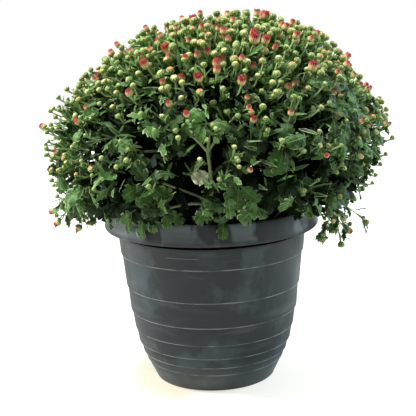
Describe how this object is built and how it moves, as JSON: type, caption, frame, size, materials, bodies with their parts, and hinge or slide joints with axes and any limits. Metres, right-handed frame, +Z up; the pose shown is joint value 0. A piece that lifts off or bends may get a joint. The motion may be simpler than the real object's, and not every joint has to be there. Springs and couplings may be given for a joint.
{
  "type": "pot chrysanthemum",
  "caption": "Mounded garden chrysanthemum in bud, with lobed leaves and a few buds opening red, growing in a stepped dark plastic pot.",
  "frame": {"origin": "middle of the pot's flat base, on the surface it stands on", "axes": "+Z up along the pot's axis; the side seen first faces -Y, with +X to its right"},
  "size_m": [0.4086, 0.3866, 0.4414],
  "materials": {
    "pot_plastic": "matte",
    "potting_mix": "matte",
    "foliage": "satin",
    "stem": "satin",
    "bud": "satin",
    "ray_floret": "matte"
  },
  "bodies": {
    "root": {"pot": "pot_plastic", "potting_mix": "potting_mix", "leafy_stem_01": "foliage", "leafy_stem_02": "foliage", "leafy_stem_03": "foliage", "leafy_stem_04": "foliage", "leafy_stem_05": "foliage", "leafy_stem_06": "foliage", "leafy_stem_07": "foliage", "leafy_stem_08": "foliage", "leafy_stem_09": "foliage", "leafy_stem_10": "foliage", "leafy_stem_11": "foliage", "leafy_stem_12": "foliage", "leafy_stem_13": "foliage", "leafy_stem_14": "foliage", "leafy_stem_15": "foliage", "leafy_stem_16": "foliage", "leafy_stem_17": "foliage", "leafy_stem_18": "foliage", "leafy_stem_19": "foliage", "leafy_stem_20": "foliage", "leafy_stem_21": "foliage", "leafy_stem_22": "foliage", "leafy_stem_23": "foliage", "leafy_stem_24": "foliage", "leafy_stem_25": "foliage", "leafy_stem_26": "foliage", "leafy_stem_27": "foliage", "leafy_stem_28": "foliage", "leafy_stem_29": "foliage", "low_spray_30": "foliage", "low_spray_31": "foliage"}
  },
  "joints": []
}
